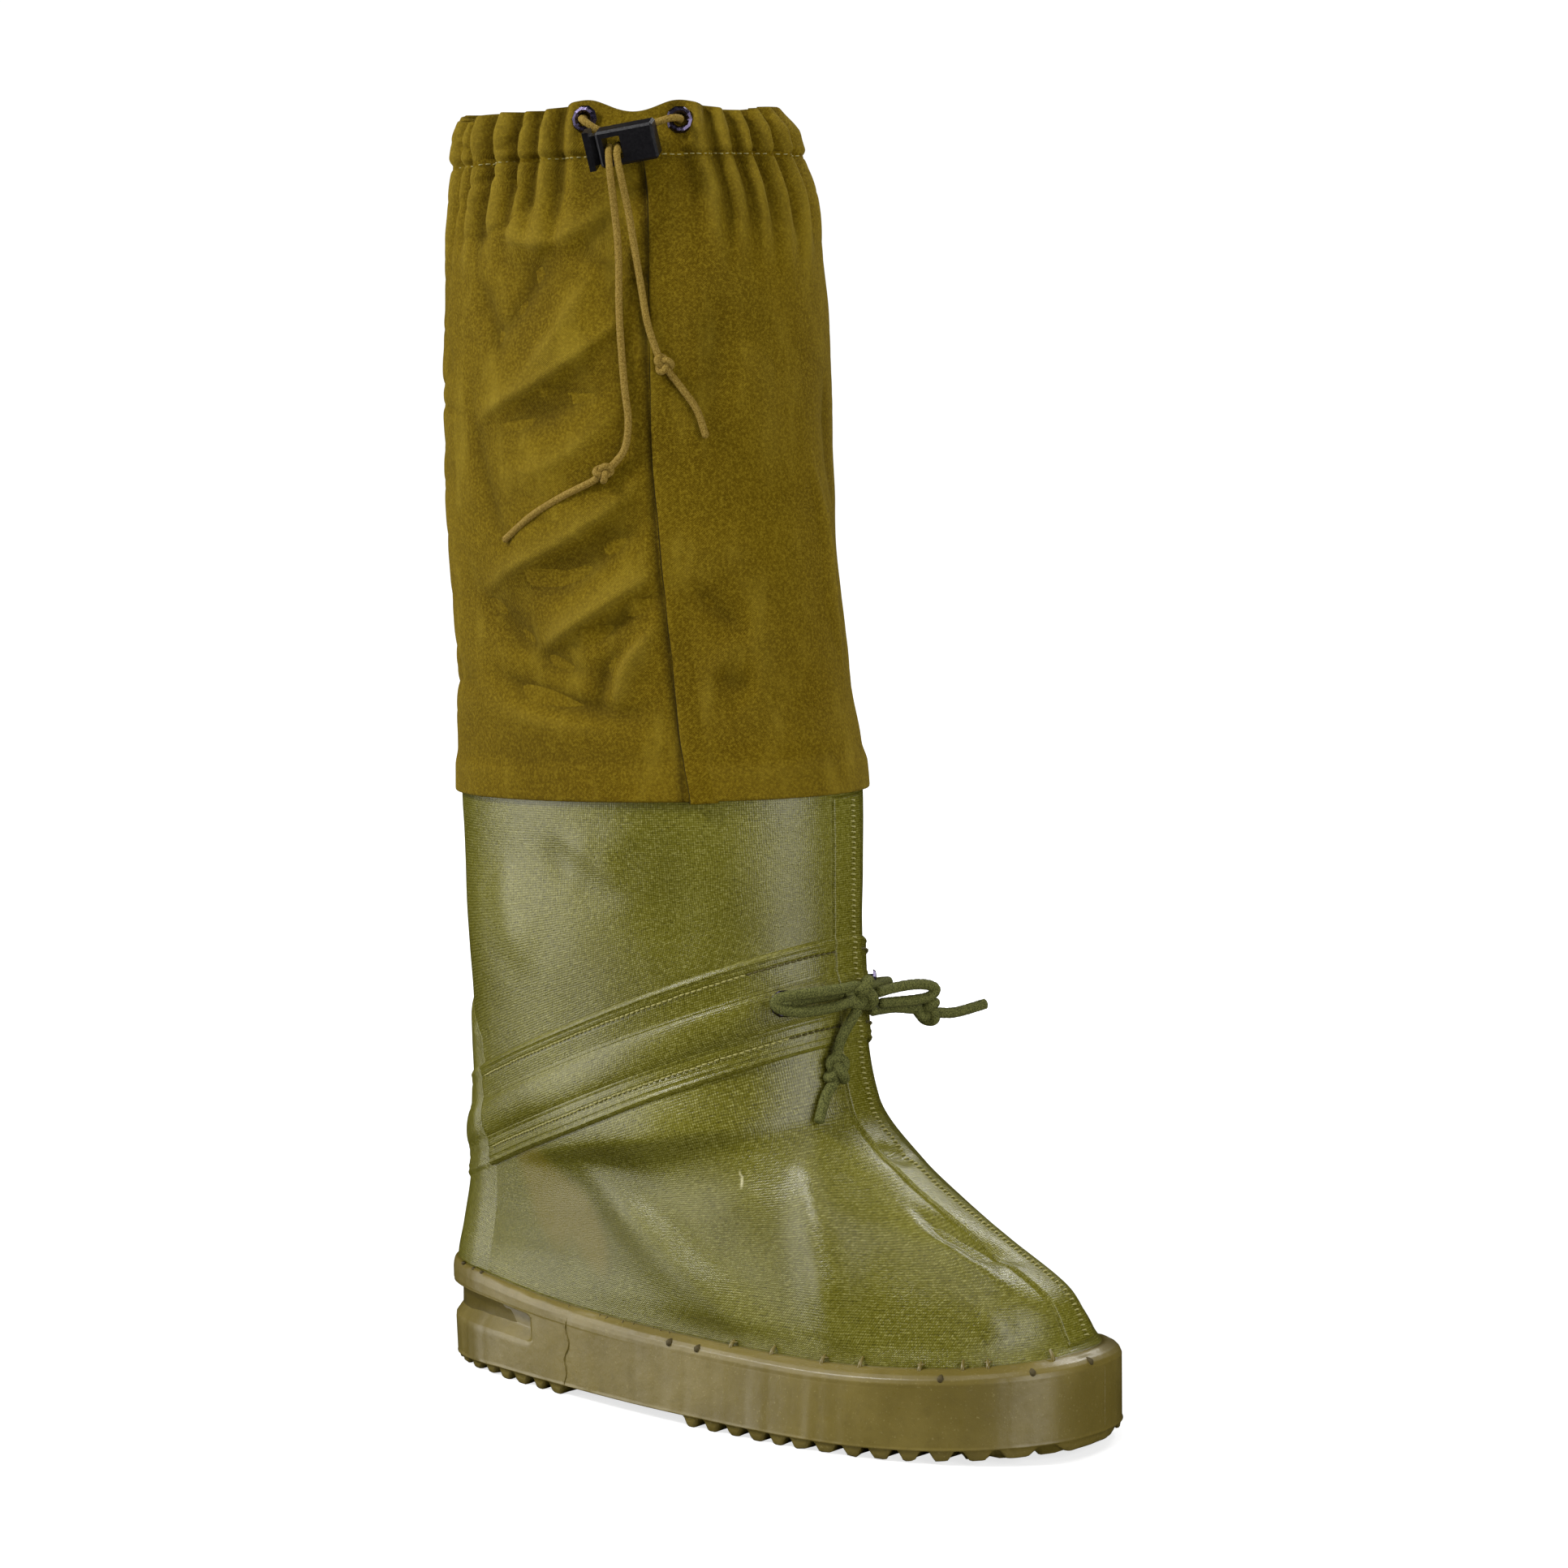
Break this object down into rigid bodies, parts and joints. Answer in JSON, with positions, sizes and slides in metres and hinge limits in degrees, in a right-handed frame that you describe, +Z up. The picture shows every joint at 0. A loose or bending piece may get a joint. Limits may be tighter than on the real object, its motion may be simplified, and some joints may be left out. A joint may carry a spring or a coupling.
{
  "type": "overshoe",
  "caption": "Knee-high pull-on overshoe for the right foot: lugged rubber sole, coated boot, laced ankle band and a cotton shaft gathered by a drawcord",
  "frame": {"origin": "on the floor under the middle of the heel, on the bottom of a tread bar", "axes": "+X to the toe, +Y to the wearer's other foot, +Z up along the shaft"},
  "size_m": [0.328, 0.1407, 0.545],
  "materials": {
    "sole_rubber": "moulded khaki rubber, satin",
    "coated_fabric": "olive woven fabric with a glossy rubber coat",
    "cotton": "matte olive cotton twill",
    "insole_felt": "matte felt",
    "eyelet_metal": "dark gunmetal",
    "lock_plastic": "black satin",
    "elastic_cord": "tan covered elastic",
    "braided_cord": "dark green braid"
  },
  "bodies": {
    "root": {"outsole": "sole_rubber", "upper": "coated_fabric", "insole": "insole_felt", "front_tape": "coated_fabric", "heel_counter": "coated_fabric", "ankle_band_inner": "coated_fabric", "ankle_band_outer": "coated_fabric", "shaft": "cotton", "side_seam": "cotton", "top_eyelet_front": "eyelet_metal", "top_eyelet_back": "eyelet_metal", "ankle_eyelet_outer": "eyelet_metal", "ankle_eyelet_inner": "eyelet_metal", "cord_lock_body": "lock_plastic", "cord_lock_plunger": "lock_plastic", "drawcord": "elastic_cord", "drawcord_long_end": "elastic_cord", "drawcord_long_knot": "elastic_cord", "drawcord_long_tail": "elastic_cord", "drawcord_short_end": "elastic_cord", "drawcord_short_knot": "elastic_cord", "drawcord_short_tail": "elastic_cord", "ankle_cord_outer": "braided_cord", "ankle_cord_inner": "braided_cord", "bow_knot": "braided_cord", "bow_loop_outer": "braided_cord", "bow_loop_inner": "braided_cord", "bow_end_down": "braided_cord", "bow_end_down_knot": "braided_cord", "bow_end_down_tip": "braided_cord", "bow_end_side": "braided_cord", "bow_end_side_knot": "braided_cord", "bow_end_side_tip": "braided_cord"}
  },
  "joints": []
}
